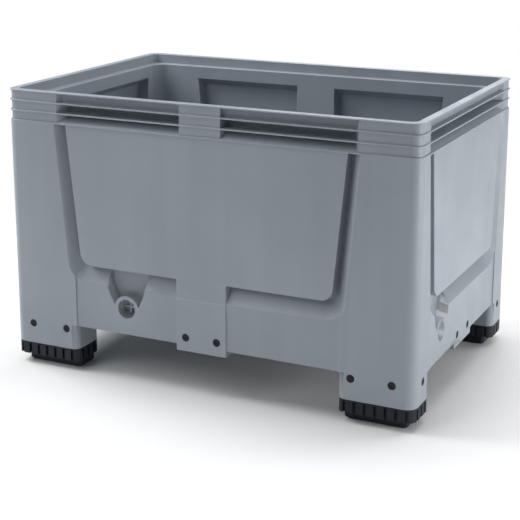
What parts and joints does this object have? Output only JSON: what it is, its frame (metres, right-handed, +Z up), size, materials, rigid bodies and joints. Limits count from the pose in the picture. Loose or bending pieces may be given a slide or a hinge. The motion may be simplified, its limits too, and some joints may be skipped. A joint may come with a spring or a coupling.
{
  "type": "bulk pallet box",
  "caption": "Open-topped moulded plastic pallet box on four feet, with a ribbed stacking rim, recessed side panels, drains and fork entry from every side.",
  "frame": {"origin": "on the ground under the middle of the box", "axes": "+X along the long side, +Y across towards the back long side, +Z up; the long side with the drain left of its middle faces -Y"},
  "size_m": [1.2, 0.8, 0.79],
  "materials": {
    "body_plastic": "grey moulded polyethylene, satin, with a fine grain and faint flow marks",
    "foot_plastic": "near-black moulded plastic, dull, slightly bluish",
    "seal_rubber": "black rubber ring"
  },
  "bodies": {
    "root": {"box_body": "body_plastic", "foot_front_left": "foot_plastic", "foot_front_right": "foot_plastic", "foot_back_right": "foot_plastic", "foot_back_left": "foot_plastic", "foot_pin_front_1": "foot_plastic", "foot_pin_front_2": "foot_plastic", "foot_pin_front_3": "foot_plastic", "foot_pin_front_4": "foot_plastic", "centre_plug_front_1": "foot_plastic", "centre_plug_front_2": "foot_plastic", "foot_pin_right_1": "foot_plastic", "foot_pin_right_2": "foot_plastic", "centre_plug_right_1": "foot_plastic", "centre_plug_right_2": "foot_plastic", "foot_pin_back_1": "foot_plastic", "foot_pin_back_2": "foot_plastic", "foot_pin_back_3": "foot_plastic", "foot_pin_back_4": "foot_plastic", "centre_plug_back_1": "foot_plastic", "centre_plug_back_2": "foot_plastic", "foot_pin_left_1": "foot_plastic", "foot_pin_left_2": "foot_plastic", "centre_plug_left_1": "foot_plastic", "centre_plug_left_2": "foot_plastic", "drain_plug_front": "body_plastic", "drain_seal_front": "seal_rubber", "drain_plug_right": "body_plastic", "drain_seal_right": "seal_rubber", "drain_plug_back": "body_plastic", "drain_seal_back": "seal_rubber", "drain_plug_left": "body_plastic", "drain_seal_left": "seal_rubber"}
  },
  "joints": []
}
